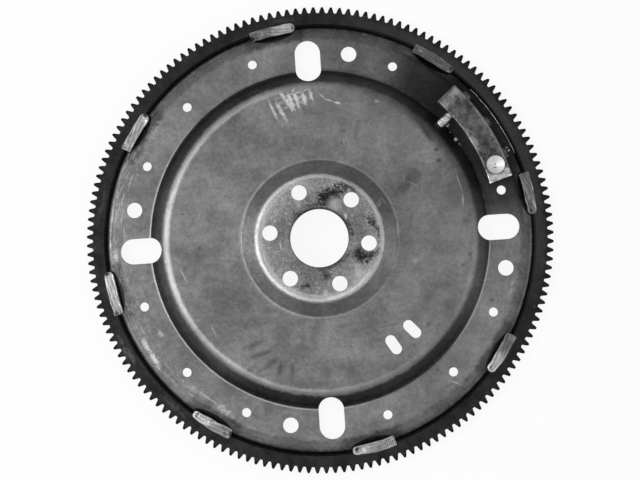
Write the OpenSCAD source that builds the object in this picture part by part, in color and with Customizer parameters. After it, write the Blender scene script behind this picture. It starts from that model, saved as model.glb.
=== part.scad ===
// Flexplate: a dished steel plate that joins a crankshaft to a torque converter,
// with a starter ring gear welded round its rim and a balance weight on one side.
// Millimetres. +Z points at the engine. The ring gear's rear face is at Z = 0,
// the crank axis is the Z axis, and the converter slots lie on X and Y.

/* [Ring gear] */
// Number of teeth
tooth_count = 164; // [156:1:172]
// Diameter over the tooth tips
ring_od = 360.7; // [356:0.1:366]
// Height of a tooth above the pitch circle
tooth_addendum = 2.5; // [2:0.1:2.6]
// Depth of a tooth, tip to root
tooth_depth = 4.6; // [4:0.1:5]
// Extra rounding at the bottom of each tooth space
root_round = 0.3; // [0.1:0.1:0.6]
// Pressure angle of the flanks, in degrees
pressure_angle = 20; // [16:0.5:21]
// Thickness of the ring between the tooth roots and the bore
ring_wall = 10.25; // [9:0.05:12]
// Width of the ring along the axis
ring_w = 10.5; // [9:0.1:13]
// Chamfer of the bore on the engine side
bore_chamfer = 1.5; // [0.5:0.1:2]
// Chamfer of the bore on the converter side
bore_rear_chamfer = 0.8; // [0.3:0.1:1.5]
// Lead-in at the tooth ends on the engine side, measured inwards
lead_in_depth = 2.4; // [1:0.1:3]
// Lead-in at the tooth ends on the engine side, measured along the axis
lead_in_w = 1.4; // [0.6:0.1:2.5]
// Broken edge of the teeth on the converter side
tooth_rear_break = 0.5; // [0.2:0.1:1]

/* [Plate] */
// Thickness of the steel sheet
sheet = 3; // [2.5:0.1:3.4]
// Gap between the plate's lip and the ring's bore, on the radius
lip_fit = 0.1; // [0.05:0.05:0.2]
// Outer radius of the bend from the rim into the lip
lip_bend_r = 4.4; // [3.8:0.1:5]
// Height of the lip's edge above the ring's rear face
lip_inset = 1; // [0.5:0.1:2]
// How far the rim's face lies below the ring's face
rim_setback = 0.5; // [0:0.1:1]
// Width of the flat rim
rim_w = 29.4; // [27:0.1:32]
// Height of the dish above the rim
dish_h = 10.3; // [9:0.1:12]
// Slope of the wall between rim and dish, in degrees
wall_slope = 43; // [38:1:48]
// Radius where the rim turns up into the wall
wall_foot_r = 2; // [1:0.1:4]
// Radius where the wall turns over into the dish
dish_edge_r = 14; // [10:0.5:16]
// Radius of the flat hub pad
hub_flat_r = 46; // [44.5:0.1:48]
// Height of the hub pad above the dish
hub_h = 6; // [5:0.1:7]
// Slope of the hub's flank, in degrees
hub_slope = 27; // [24:1:31]
// Radius round the edge of the hub pad
hub_edge_r = 9.9; // [8:0.1:12]
// Radius at the foot of the hub
hub_foot_r = 1.8; // [1:0.1:3]

/* [Crank holes] */
// Centre bore
pilot_d = 44.6; // [43:0.1:46]
// Circle of the crank bolts
crank_circle_d = 76.2; // [74:0.1:78]
// Crank bolt hole
crank_hole_d = 11.8; // [11:0.1:12.5]
// Number of crank bolt holes
crank_holes = 6; // [4:1:8]
// Angle of the crank hole that is set out of step
crank_key_angle = 50.38; // [40:0.01:60]
// How far that hole is turned from its even place, in degrees
crank_key_shift = 3.85; // [0:0.05:5]

/* [Converter holes] */
// Distance of the middle of a slot from the lip
slot_inset = 27.3; // [25:0.1:30]
// Width of a slot
slot_w = 19.6; // [18:0.1:21]
// Length of a slot, end to end
slot_l = 32.5; // [30:0.1:34]
// Distance of the round converter holes from the lip
stud_inset = 20.2; // [18:0.1:22]
// Round converter hole
stud_hole_d = 12; // [11:0.1:13]
// Angle of the first round hole from the slot on +X
stud_angle = -12.7; // [-16:0.1:-11]
// Small holes of the rim
small_hole_d = 7; // [6:0.1:8]
// Distance of the small holes from the lip
small_inset = 20.25; // [18:0.05:22]
// Angle of the odd small hole beside the balance weight
odd_hole_angle = 11.24; // [10:0.1:12]
// Width of the two slits in the dish
slit_w = 8.3; // [7:0.1:9]
// Length of the slits
slit_l = 16; // [13:0.1:18]
// Radius of the middle of the slits
slit_r = 99.2; // [95:0.1:102]

/* [Ring welds] */
// Width of a bead across the seam
bead_w = 8.6; // [7:0.1:9.5]
// Length of a bead along the seam
bead_l = 33; // [26:0.5:36]
// Height of a bead's crown above the ring's face
bead_crown = 1.2; // [0.6:0.1:1.6]
// How far the middle of a bead lies inside the ring's bore radius
bead_inset = 0.2; // [0:0.1:0.6]
// How far a weld dent reaches into the rim from the lip
dent_reach = 8.4; // [7:0.1:9]
// Length of a weld dent along the edge
dent_l = 42; // [38:0.5:46]
// Depth of a weld dent at the lip
dent_depth = 5; // [4:0.1:5.5]

/* [Balance weight] */
// Middle of the weight round the plate, in degrees
weight_angle = 29.7; // [28:0.1:32]
// Length of the weight round the plate, in degrees
weight_span = 31; // [26:0.1:31]
// Width of the bar
weight_w = 18.6; // [16:0.1:19]
// Thickness of the bar
weight_h = 11; // [8:0.1:14]
// Radius of the bar's upper edges
weight_edge_r = 1.2; // [0.5:0.1:2]
// Distance of the bar's outer side from the lip
weight_setback = 9; // [8:0.1:10]
// How far the bar is turned from true, in degrees
weight_skew = -1.2; // [-2:0.1:0]
// How far the bar's ends are cut off square, in degrees
weight_end_cut = 4; // [1:0.5:6]
// Width of the edge that the shear rolled over, at one end of the bar
weight_roll_w = 2.2; // [1:0.1:3]
// Slope of that edge, in degrees
weight_roll_slope = 30; // [20:1:40]
// Diameter of the drilled balancing spot
spot_d = 14.4; // [10:0.1:16]
// Point angle of the drill
spot_point = 118; // [112:1:140]
// Distance of the spot from the end of the bar
spot_inset = 12.1; // [9:0.1:16]
// Radius of an outer weld tack
tack_r = 5; // [4:0.1:5.2]
// Height of an outer weld tack on the rim
tack_h = 4.3; // [3:0.1:4.8]
// How far the middle of a tack lies under the bar
tack_cover = 0.8; // [0.4:0.1:1.2]
// Width of the inner weld nub
nub_w = 7.6; // [6:0.1:9]
// Length of the inner weld nub, away from the bar
nub_l = 11; // [10:0.1:13]
// Height of the nub's centre line above the rim
nub_rise = 1.9; // [1:0.1:3]
// Angle of the nub from the middle of the bar, in degrees
nub_angle = 9.9; // [4:0.1:11]

/* [Hidden] */
$fn = 192;
arc_steps = 8;
flank_steps = 3;
// Overlap that lets a cutter pass clean through a face
through = 1;

// Heights of the faces on the engine side
rim_z = ring_w - rim_setback;
dish_z = rim_z + dish_h;
hub_z = dish_z + hub_h;

// Radii from the tooth tips inwards: the ring, the seam, then the plate's rim
tip_r = ring_od / 2;
root_r = tip_r - tooth_depth;
bore_r = root_r - ring_wall;
bead_r = bore_r - bead_inset;
lip_r = bore_r - lip_fit;
rim_flat_r = lip_r - lip_bend_r;
rim_inner_r = rim_flat_r - rim_w;

// Circles of the rim's hole patterns
slot_circle_d = 2 * (lip_r - slot_inset);
stud_circle_d = 2 * (lip_r - stud_inset);
small_circle_d = 2 * (lip_r - small_inset);

// Angles round the plate, and of the tacks from the middle of the weight.
// The welds and tacks were laid by hand.
ring_weld_angles = [8.7, 54.1, 99.0, 145.8, 190.8, 235.6, 280.9, 324.1];
weight_tack_angles = [-8.6, 1.6, 10.9];
small_hole_angles = [17.3, 41.3, 63.3];
slit_angles = [-48.25, -59];
quarter_turns = [0, 90, 180, 270];

function numbered(name, list) = [for (i = [0:len(list) - 1]) str(name, i + 1)];
RING_WELDS = numbered("ring_weld_", ring_weld_angles);
WEIGHT_TACKS = numbered("weight_tack_", weight_tack_angles);

// Points of an arc, both ends included
function arc(centre, r, from, to) = [
    for (i = [0:arc_steps])
        let (a = from + (to - from) * i / arc_steps)
        centre + r * [cos(a), sin(a)]
];

// Width in plan of an S-shaped step with this height, slope and pair of radii
function step_run(h, slope, r1, r2) =
    (r1 + r2) * sin(slope)
    + (h - (r1 + r2) * (1 - cos(slope))) / tan(slope);

dish_flat_r = rim_inner_r - step_run(dish_h, wall_slope, dish_edge_r, wall_foot_r);
hub_foot_end_r = hub_flat_r + step_run(hub_h, hub_slope, hub_edge_r, hub_foot_r);

// Centres of the five bends, the same for both faces of the sheet
hub_edge_c = [hub_flat_r, hub_z - hub_edge_r];
hub_foot_c = [hub_foot_end_r, dish_z + hub_foot_r];
dish_edge_c = [dish_flat_r, dish_z - dish_edge_r];
wall_foot_c = [rim_inner_r, rim_z + wall_foot_r];
lip_bend_c = [rim_flat_r, rim_z - lip_bend_r];

// Line of the engine side from the centre bore to the end of the lip's bend
engine_side = concat(
    [[pilot_d / 2, hub_z]],
    arc(hub_edge_c, hub_edge_r, 90, 90 - hub_slope),
    arc(hub_foot_c, hub_foot_r, 270 - hub_slope, 270),
    arc(dish_edge_c, dish_edge_r, 90, 90 - wall_slope),
    arc(wall_foot_c, wall_foot_r, 270 - wall_slope, 270),
    arc(lip_bend_c, lip_bend_r, 90, 0)
);

// Half section of the sheet: out along the engine side, back along the other
module sheet_section() {
    polygon(concat(
        engine_side,
        [[lip_r, lip_inset], [lip_r - sheet, lip_inset]],
        arc(lip_bend_c, lip_bend_r - sheet, 0, 90),
        arc(wall_foot_c, wall_foot_r + sheet, 270, 270 - wall_slope),
        arc(dish_edge_c, dish_edge_r - sheet, 90 - wall_slope, 90),
        arc(hub_foot_c, hub_foot_r + sheet, 270, 270 - hub_slope),
        arc(hub_edge_c, hub_edge_r - sheet, 90 - hub_slope, 90),
        [[pilot_d / 2, hub_z - sheet]]
    ));
}

// A weld dent is pressed by a ball. These give the ball from the dent's size:
// the circle that it marks on the rim, then its height above the rim.
dent_circle_r = (dent_l * dent_l / 4 + pow(dent_reach - lip_bend_r / 2, 2))
    / (2 * (dent_reach - lip_bend_r / 2));
dent_centre_r = lip_r - dent_reach + dent_circle_r;
dent_lip_run = dent_centre_r - lip_r;
dent_ball_h = (pow(dent_circle_r, 2) - pow(dent_lip_run, 2) - pow(dent_depth, 2))
    / (2 * dent_depth);
dent_ball_r = sqrt(pow(dent_circle_r, 2) + pow(dent_ball_h, 2));

// The pressing ball of a weld dent, grown by an offset
module dent_ball(grow) {
    translate([dent_centre_r, 0, rim_z + dent_ball_h])
        sphere(r = dent_ball_r + grow);
}

// Sheet pushed out behind a weld dent, inside the lip
module dent_bulge() {
    intersection() {
        dent_ball(sheet);
        rotate_extrude()
            translate([rim_inner_r + sheet, lip_inset])
            square([lip_r - sheet / 2 - rim_inner_r - sheet, rim_z - lip_inset - sheet / 2]);
    }
}

// The pressed plate before its holes
module pressed_plate() {
    difference() {
        union() {
            rotate_extrude() sheet_section();
            for (a = ring_weld_angles) rotate(a) dent_bulge();
        }
        for (a = ring_weld_angles) rotate(a) dent_ball(0);
    }
}

// All that lies under the engine side, and a little way under the ring. Welds are trimmed to it.
module under_engine_side() {
    rotate_extrude() polygon(concat(
        engine_side,
        [[bore_r + through, lip_bend_c[1]], [bore_r + through, -through], [pilot_d / 2, -through]]
    ));
}

// Upright cutter for a round hole through the sheet
module hole(d) {
    translate([0, 0, -through]) cylinder(d = d, h = hub_z + 2 * through);
}

// Upright cutter for a slot along X, round at both ends
module slot(w, l) {
    reach = (l - w) / 2;
    for (side = [-1, 1]) translate([side * reach, 0, 0]) hole(w);
    translate([-reach, -w / 2, -through]) cube([2 * reach, w, hub_z + 2 * through]);
}

// Places its children at a radius and an angle
module at_polar(r, a) {
    rotate(a) translate([r, 0, 0]) children();
}

module plate_holes() {
    for (i = [0:crank_holes - 1])
        at_polar(
            crank_circle_d / 2,
            crank_key_angle + i * 360 / crank_holes - (i == 0 ? crank_key_shift : 0)
        ) hole(crank_hole_d);
    for (q = quarter_turns) {
        at_polar(slot_circle_d / 2, q) slot(slot_w, slot_l);
        at_polar(stud_circle_d / 2, q + stud_angle) hole(stud_hole_d);
        for (a = small_hole_angles) at_polar(small_circle_d / 2, q + a) hole(small_hole_d);
    }
    at_polar(small_circle_d / 2, odd_hole_angle) hole(small_hole_d);
    for (a = slit_angles) at_polar(slit_r, a) slot(slit_w, slit_l);
}

module stamped_plate() {
    color("dimgray") difference() {
        pressed_plate();
        plate_holes();
    }
}

// Involute teeth: the half angle of a tooth at each radius
pitch_r = tip_r - tooth_addendum;
base_r = pitch_r * cos(pressure_angle);
pitch_angle = 360 / tooth_count;
function involute(a) = tan(a) * 180 / PI - a;
function tooth_half_angle(r) =
    pitch_angle / 4 + involute(pressure_angle) - involute(acos(base_r / r));
function polar(r, a) = r * [cos(a), sin(a)];

// Outline of the ring: each tooth goes up one flank and down the other to the rounded root
function flank_r(i) = root_r + tooth_depth * i / flank_steps;
gear_outline = [
    for (t = [0:tooth_count - 1])
        let (mid = t * pitch_angle)
        each concat(
            [for (i = [0:flank_steps]) polar(flank_r(i), mid - tooth_half_angle(flank_r(i)))],
            [for (i = [flank_steps:-1:0]) polar(flank_r(i), mid + tooth_half_angle(flank_r(i)))],
            [polar(root_r - root_round, mid + pitch_angle / 2)]
        )
];

// The ring as a plain hoop with its chamfers. It stands past the tooth tips,
// and the two outer chamfers keep their slopes out to there.
module ring_hoop() {
    lead_slope = lead_in_w / lead_in_depth;
    rotate_extrude() polygon([
        [bore_r, bore_rear_chamfer],
        [bore_r + bore_rear_chamfer, 0],
        [tip_r - tooth_rear_break, 0],
        [tip_r + through, tooth_rear_break + through],
        [tip_r + through, ring_w - lead_slope * (lead_in_depth + through)],
        [tip_r - lead_in_depth, ring_w],
        [bore_r + bore_chamfer, ring_w],
        [bore_r, ring_w - bore_chamfer]
    ]);
}

module ring_gear() {
    color("#2b2b2b") intersection() {
        linear_extrude(ring_w) polygon(gear_outline);
        ring_hoop();
    }
}

// Crown of the beads, as a hoop with a round section over the seam
bead_top_z = ring_w + bead_crown;
bead_crown_r = (pow(bead_w / 2, 2) + pow(bead_crown, 2)) / (2 * bead_crown);
module bead_hoop() {
    rotate_extrude()
        translate([bead_r, bead_top_z - bead_crown_r])
        circle(r = bead_crown_r);
}

// Upright outline of a bead along the seam: it starts round and stops square
bead_floor_z = rim_z - dent_depth - through;
bead_wall_h = bead_top_z + through - bead_floor_z;
module bead_walls() {
    turn = 180 / PI / bead_r;
    start = -(bead_l - bead_w) / 2 * turn;
    stop = bead_l / 2 * turn;
    rotate(start)
        rotate_extrude(angle = stop - start)
        translate([bead_r - bead_w / 2, bead_floor_z])
        square([bead_w, bead_wall_h]);
    at_polar(bead_r, start)
        translate([0, 0, bead_floor_z])
        cylinder(d = bead_w, h = bead_wall_h);
}

// A bead fills its dent and the groove, and stops at the plate and at the ring
module ring_weld(i) {
    color("gray") rotate(ring_weld_angles[i]) difference() {
        intersection() {
            bead_hoop();
            bead_walls();
        }
        difference() {
            under_engine_side();
            dent_ball(0);
        }
        ring_hoop();
    }
}

// Places its children in the weight's own frame: X outwards through its middle, turned by the skew
weight_outer_r = lip_r - weight_setback;
weight_inner_r = weight_outer_r - weight_w;
weight_mid_r = weight_outer_r - weight_w / 2;
module weight_frame() {
    at_polar(weight_mid_r, weight_angle)
        rotate(weight_skew)
        translate([-weight_mid_r, 0, rim_z])
        children();
}

// Half of the bar's arc with some to spare, which the end cuts take off again
weight_half_angle = weight_span / 2;
weight_stock_angle = weight_half_angle + 1;

// The place of one end of the bar: Y points out of the end, along the bar's arc
module weight_end(side) {
    at_polar(weight_mid_r, side * weight_half_angle)
        rotate(side > 0 ? -weight_end_cut : 180 + weight_end_cut)
        children();
}

// The curved bar before its ends are cut, bent from flat stock with rounded edges
module weight_bar() {
    edge_z = weight_h - weight_edge_r;
    weight_frame()
        rotate(-weight_stock_angle)
        rotate_extrude(angle = 2 * weight_stock_angle)
        polygon(concat(
            [[weight_inner_r, 0], [weight_outer_r, 0]],
            arc([weight_outer_r - weight_edge_r, edge_z], weight_edge_r, 0, 90),
            arc([weight_inner_r + weight_edge_r, edge_z], weight_edge_r, 90, 180)
        ));
}

// What the shear takes off: both ends, and a rolled-over edge at one of them
module weight_end_cuts() {
    for (side = [-1, 1])
        weight_end(side)
            translate([-weight_w, 0, -through])
            cube([2 * weight_w, weight_w, weight_h + 2 * through]);
    weight_end(1)
        translate([-weight_w, -weight_roll_w, weight_h])
        rotate([-weight_roll_slope, 0, 0])
        cube([2 * weight_w, weight_w, weight_h]);
}

spot_angle = weight_half_angle - spot_inset / weight_mid_r * 180 / PI;
spot_depth = spot_d / 2 / tan(spot_point / 2);
module balance_weight() {
    color("gray") difference() {
        weight_bar();
        weight_frame() weight_end_cuts();
        weight_frame()
            at_polar(weight_mid_r, -spot_angle)
            translate([0, 0, weight_h - spot_depth])
            cylinder(d1 = 0, d2 = 2 * spot_d, h = 2 * spot_depth);
    }
}

// A round-nosed rod along X, with its nose at the origin
module round_rod(r, l) {
    rotate([0, 90, 0])
        rotate_extrude()
        polygon(concat(arc([0, r], r, -90, 0), [[r, l], [0, l]]));
}

// Room that the bar takes, with some to spare above and below. Its welds are trimmed to it.
module weight_room() {
    weight_frame()
        rotate(-weight_half_angle)
        rotate_extrude(angle = weight_span)
        translate([weight_inner_r, -through])
        square([weight_w, weight_h + 2 * through]);
}

// A dome of weld on the rim, with its middle just under the bar's outer edge
tack_sink = tack_r - tack_h;
module weight_tack(i) {
    color("#4a4a4a") difference() {
        weight_frame()
            at_polar(weight_outer_r - tack_cover, weight_tack_angles[i])
            rotate_extrude()
            polygon(concat([[0, 0]], arc([0, -tack_sink], tack_r, asin(tack_sink / tack_r), 90)));
        weight_room();
    }
}

// A nub of weld that runs in from the bar's inner edge, over the foot of the dish
module weight_weld_inner() {
    color("darkgray") difference() {
        weight_frame()
            at_polar(weight_inner_r - nub_l, nub_angle)
            translate([0, 0, nub_rise])
            round_rod(nub_w / 2, nub_l + nub_w);
        weight_room();
        under_engine_side();
    }
}

stamped_plate();
ring_gear();
for (i = [0:len(RING_WELDS) - 1])
    ring_weld(i);
balance_weight();
for (i = [0:len(WEIGHT_TACKS) - 1])
    weight_tack(i);
weight_weld_inner();
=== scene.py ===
# %% [markdown]
# # A flexplate, dressed in Blender
# A flexplate is the thin steel disc between an engine's crankshaft and its torque converter.
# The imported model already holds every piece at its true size. This lesson adds what a model of
# solids lacks: soft shading on the pressed bends, weld metal with ripples, worn and oily steel,
# and the studio around it. All lengths below are written in millimetres and turned to metres once.

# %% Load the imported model
import math

import bpy
import numpy as np
from mathutils import Matrix, Vector


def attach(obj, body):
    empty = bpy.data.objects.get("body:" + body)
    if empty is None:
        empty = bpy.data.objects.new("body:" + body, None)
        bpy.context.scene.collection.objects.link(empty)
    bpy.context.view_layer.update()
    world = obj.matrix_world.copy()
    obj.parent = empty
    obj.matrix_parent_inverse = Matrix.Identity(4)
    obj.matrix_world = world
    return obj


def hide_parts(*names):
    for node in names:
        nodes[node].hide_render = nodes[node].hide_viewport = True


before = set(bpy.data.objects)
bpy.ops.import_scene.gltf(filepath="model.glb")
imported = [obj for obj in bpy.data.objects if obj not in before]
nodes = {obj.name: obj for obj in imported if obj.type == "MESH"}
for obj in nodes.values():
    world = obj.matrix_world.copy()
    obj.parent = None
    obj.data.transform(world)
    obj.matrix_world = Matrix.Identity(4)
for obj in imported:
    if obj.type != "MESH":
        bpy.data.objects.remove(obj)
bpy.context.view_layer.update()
MM = 0.001

# %% [markdown]
# ## The camera
# The plate is seen almost square on from the engine's side. A camera could be aimed by eye, but
# the tips of the ring's teeth give its place to under a pixel: two small tilts, a turn of the
# plate in the picture, and a long lens from 1.5 m. The turn is kept in one value, because the
# plate's own axes run through its slots and the picture's don't.

# %% Camera
PICTURE_WIDTH_PX = 640
FOCAL_PX = 1941.3
SENSOR_MM = 36.0
CAMERA_DISTANCE = 1.5
CAMERA_FAR = 50
LOOK_HEIGHT = 9.1 * MM
PICTURE_TURN = math.radians(3.86)
TILT = math.radians(-2.537)
SWING = math.radians(-1.047)
PLATE_OFFSET = Vector((-0.156 * MM, 0.705 * MM, 0.0))


def aim_camera():
    """The plate is first turned into the picture, swung and tilted; the camera takes the way back."""
    to_view = (
        Matrix.Rotation(TILT, 3, "X") @ Matrix.Rotation(SWING, 3, "Y") @ Matrix.Rotation(PICTURE_TURN, 3, "Z")
    )
    back = to_view.transposed()
    place = back @ (Vector((0, 0, CAMERA_DISTANCE)) - PLATE_OFFSET) + Vector((0, 0, LOOK_HEIGHT))
    return Matrix.Translation(place) @ back.to_4x4()


lens = bpy.data.cameras.new("photo_camera")
lens.sensor_fit = "HORIZONTAL"
lens.sensor_width = SENSOR_MM
lens.lens = FOCAL_PX / PICTURE_WIDTH_PX * SENSOR_MM
lens.clip_end = CAMERA_FAR
camera = bpy.data.objects.new("photo_camera", lens)
camera.matrix_world = aim_camera()
bpy.context.scene.collection.objects.link(camera)
bpy.context.scene.camera = camera
print("camera at", [round(c, 3) for c in camera.matrix_world.translation], "lens", round(lens.lens, 1))

# %% [markdown]
# ## Small tools for surfaces
# Every new piece is a grid: rows of points along it, and a closed ring of points at each row.
# One function turns such a grid into a closed mesh, with the first and last ring drawn together
# into a pole. It can also store how bright the metal is at each point, because weld metal is
# bright where it froze last and dull where it scaled; the same value carries painted highlight on
# the weld's ridges and bumps and painted shade in its hollows. Hand-laid metal is never regular, so
# another function gives a smooth wander: a sum of a few sine waves with seeded phases, which is
# the same in every run.

# %% Grid and wander tools


def put_mesh(name, points, faces):
    """A smooth-shaded mesh object at the origin from points in millimetres and lists of corners."""
    mesh = bpy.data.meshes.new(name)
    mesh.from_pydata((np.asarray(points, float) * MM).tolist(), [], faces)
    mesh.polygons.foreach_set("use_smooth", [True] * len(mesh.polygons))
    mesh.update()
    piece = bpy.data.objects.new(name, mesh)
    bpy.context.scene.collection.objects.link(piece)
    return piece


def closed_faces(rows, columns, first=0):
    """Quads between neighbouring rings, closed round each ring, and a fan of triangles at each end."""
    row, column = np.meshgrid(np.arange(rows - 1), np.arange(columns), indexing="ij")
    nxt = (column + 1) % columns
    quads = [row * columns + column, row * columns + nxt, (row + 1) * columns + nxt, (row + 1) * columns + column]
    around = np.arange(columns)
    after = (around + 1) % columns
    tail = (rows - 1) * columns
    low_pole, high_pole = rows * columns, rows * columns + 1
    low_fan = np.stack([np.full(columns, low_pole), after, around], -1)
    high_fan = np.stack([np.full(columns, high_pole), tail + around, tail + after], -1)
    quads = np.stack(quads, -1).reshape(-1, 4)
    return (quads + first).tolist() + (low_fan + first).tolist() + (high_fan + first).tolist()


def with_poles(values):
    """A (rows, columns, ...) grid as one list of points, with the mean of each end ring added as its pole."""
    flat = values.reshape(-1, *values.shape[2:])
    return np.concatenate([flat, values[:1].mean(1), values[-1:].mean(1)])


def closed_grid(name, grids, shines):
    """One piece from closed grids, with the brightness of its metal, painted highlight and shade included, kept on its
    points.
    """
    points, faces = [], []
    for grid in grids:
        faces += closed_faces(grid.shape[0], grid.shape[1], first=sum(len(p) for p in points))
        points.append(with_poles(grid))
    piece = put_mesh(name, np.concatenate(points), faces)
    shine = np.concatenate([with_poles(values) for values in shines])
    piece.data.attributes.new("shine", "FLOAT", "POINT").data.foreach_set("value", shine.astype(np.float32))
    return piece


def wander(t, seed, waves=5):
    """Smooth seeded noise of about unit size: sines of rising pace and falling height."""
    rng = np.random.default_rng(seed)
    pace = 1 + np.arange(waves) + rng.random(waves) * 0.6
    phase = rng.random(waves) * 2 * np.pi
    height = 1 / np.sqrt(1 + np.arange(waves))
    return (np.sin(np.multiply.outer(t, pace) + phase) * height).sum(-1) / 1.6


def smooth_step(t, low, high):
    """0 below low, 1 above high, and an S-curve between."""
    k = np.clip((t - low) / (high - low), 0, 1)
    return k * k * (3 - 2 * k)


print("surface tools ready")

# %% [markdown]
# ## The pressed sheet
# The plate is one disc of 3 mm sheet, pressed in a die, so its bends flow into the flats. The
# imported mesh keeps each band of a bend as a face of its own, which would show as rings in a low
# light. The mesh could be subdivided, but the holes would then lose their crisp sheared edges.
# Here a copy has its loose triangles joined, only true corners are marked sharp, and a weighted
# normal keeps the flats flat right up to the bends.

# %% Joined copies of the plate and the weight
SHEAR_ANGLE = math.radians(28)
STEPS_PER_METRE = 1e7
BIG_FACE_WEIGHT = 80


def joined_copy(node, name):
    """A copy of a CAD node with equal corner points joined, found by rounding to a tenth of a micron."""
    source = nodes[node].data
    co = np.empty(len(source.vertices) * 3)
    source.vertices.foreach_get("co", co)
    corners = np.empty(len(source.loops), int)
    source.loops.foreach_get("vertex_index", corners)
    keys = np.round(co.reshape(-1, 3) * STEPS_PER_METRE).astype(np.int64)
    _, first, group = np.unique(keys, axis=0, return_index=True, return_inverse=True)
    triangles = group.reshape(-1)[corners].reshape(-1, 3)
    good = (triangles != np.roll(triangles, 1, axis=1)).all(axis=1)
    piece = put_mesh(name, co.reshape(-1, 3)[first] / MM, triangles[good].tolist())
    piece.data.set_sharp_from_angle(angle=SHEAR_ANGLE)
    flow = piece.modifiers.new("even_shading", "WEIGHTED_NORMAL")
    flow.keep_sharp = True
    flow.weight = BIG_FACE_WEIGHT
    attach(piece, "root")
    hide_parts(node)
    return piece


plate = joined_copy("stamped_plate", "plate_sheet")
weight = joined_copy("balance_weight", "weight_bar")
print("plate:", len(plate.data.polygons), "faces, weight:", len(weight.data.polygons), "faces")

# %% [markdown]
# ## The ring's weld beads
# Eight short beads of weld hold the ring gear on the plate. Each was begun at one end, laid
# along the seam and stopped. The start is round and often has a gas hole, the stop is square with
# ripples across it, and raised lines run along both edges, where the metal froze first. A bead
# is a closed grid: rings around its section, carried along the seam's arc. The section is a
# flattened oval that reaches down into the groove, and the marks are added to its upper half.

# %% Bead surface
SEAM_R = 165.3
RING_FACE_Z = 10.5
BEAD_CROWN = 1.1
BEAD_ROOT = 4.6
BEAD_END_ROUND = 1.5
ROW_CROWDING = 0.3
RIPPLE_PITCH = 1.5
RIDGE_PLACE, RIDGE_WIDTH = 0.8, 0.12
# Each mark on a bead's top: its height, and how much it brightens the metal where it stands high and darkens it where
# it lies low; for ridges, strands and ripples this is painted highlight and painted shade, for patches the metal's own
# patchiness
RIDGE, STRAND, RIPPLE, PATCH = (0.24, 0.4), (0.08, 0.26), (0.09, 0.16), (0.04, 0.14)
# Dents take brightness away and lumps add it: painted shade and painted highlight
PLAIN_GLOW, DENT_SHADE_AND_HIGHLIGHT = 0.68, 0.6


def dent_field(s, x, dents):
    """Height and painted shade of dents: each a bell with a low lip round it; a negative depth is a lump, and its
    shade turns to painted highlight.
    """
    height, dent_shade = np.zeros_like(x), np.zeros_like(x)
    for at, across, size, depth in dents:
        near = np.hypot(s - at, x - across) / size
        height += -depth * np.exp(-near**2) + 0.2 * abs(depth) * np.exp(-(((near - 1.9) / 0.6) ** 2))
        dent_shade += depth * np.exp(-near**2)
    return height, np.clip(dent_shade, -0.6, 1)


def bead_grid(middle, start, end, start_w, end_w, ripple, slant, shine, dents, seed, rows=180, columns=84):
    """Rings of a bead along the seam: station s runs from start to end, and phi round the section.

    Half width: a taper, rounded at the start by an ellipse and squared at the end by a high power.
    Top: a flat-topped oval, plus two edge ridges, strands along the bead, ripples across its last
    third, and dents. The ridges, strands, ripples and dents also carry painted highlight where they
    stand high and painted shade where they lie low. The grid is then bent round the crank axis.
    """
    t = np.linspace(0, 1, rows)[:, None]
    t = ROW_CROWDING * (0.5 - 0.5 * np.cos(np.pi * t)) + (1 - ROW_CROWDING) * t
    s = start + (end - start) * t
    taper = start_w + (end_w - start_w) * smooth_step(t, 0.05, 0.5)
    round_start = np.sqrt(np.clip(1 - (1 - np.clip((s - start) / (0.5 * start_w), 0, 1)) ** 2, 0, 1))
    square_end = np.clip(1 - (1 - np.clip((end - s) / BEAD_END_ROUND, 0, 1)) ** 4, 0, 1) ** 0.5
    half = 0.5 * taper * round_start * square_end * (1 + 0.025 * wander(s * 0.17, seed, 4))
    phi = np.linspace(0, 2 * np.pi, columns, endpoint=False)
    c, d = np.cos(phi), np.sin(phi)
    k = np.sign(c) * np.abs(c) ** 0.62
    x = half * k
    ends = (round_start * square_end) ** 0.8
    crown = BEAD_CROWN * (0.93 + 0.07 * wander(s * 0.14, seed + 2, 4))
    z = np.where(d >= 0, np.abs(d) ** 0.5 * crown * ends, -np.abs(d) ** 0.9 * BEAD_ROOT * ends)
    upper = smooth_step(d, 0.05, 0.55) * ends
    side = 1 + 0.6 * wander(s * 0.22, seed + 3, 4) * np.sign(k)
    ridge = np.exp(-(((np.abs(k) - RIDGE_PLACE) / RIDGE_WIDTH) ** 2)) * side
    lean = 0.3 * (s - start) * np.sign(slant + 0.01)
    strand = 0.6 * np.sin(9 * k + lean + 1.6 * wander(s * 0.1, seed + 4, 3))
    strand = strand + 0.4 * np.sin(16 * k - 0.7 * lean + 2.0 * wander(s * 0.13, seed + 6, 3))
    patchy = 0.7 * wander(s * 0.12 + 1.3 * k, seed + 7, 4) + 0.5 * wander(s * 0.22 - 1.6 * k, seed + 8, 4)
    late = 0.05 + 0.95 * smooth_step(s, end - 11, end - 4)
    wave = np.sin(2 * np.pi * (s + slant * x + 0.25 * wander(x, seed + 5, 3)) / RIPPLE_PITCH) * late * ripple
    dent, dent_shade = dent_field(s, x, dents)
    marks = [(ridge, RIDGE), (strand, STRAND), (wave, RIPPLE), (patchy, PATCH)]
    z = z + upper * (sum(height * mark for mark, (height, _) in marks) + dent)
    radius = SEAM_R + 0.2 * wander(s * 0.13, seed + 1, 4) + x
    angle = math.radians(middle) + s / SEAM_R
    grid = np.stack([radius * np.cos(angle), radius * np.sin(angle), RING_FACE_Z + z], -1)
    along = shine[0] + (shine[1] - shine[0]) * smooth_step(t, 0.25, 0.7)
    # Brightness rises with the marks' height and falls in dents: painted highlight and painted shade
    glow = along * (PLAIN_GLOW + sum(share * mark for mark, (_, share) in marks) - DENT_SHADE_AND_HIGHLIGHT * np.maximum(dent_shade, 0))
    glow = glow + DENT_SHADE_AND_HIGHLIGHT * np.maximum(-dent_shade, 0)
    return grid, np.clip(glow, 0.0, 1.3)


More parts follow.
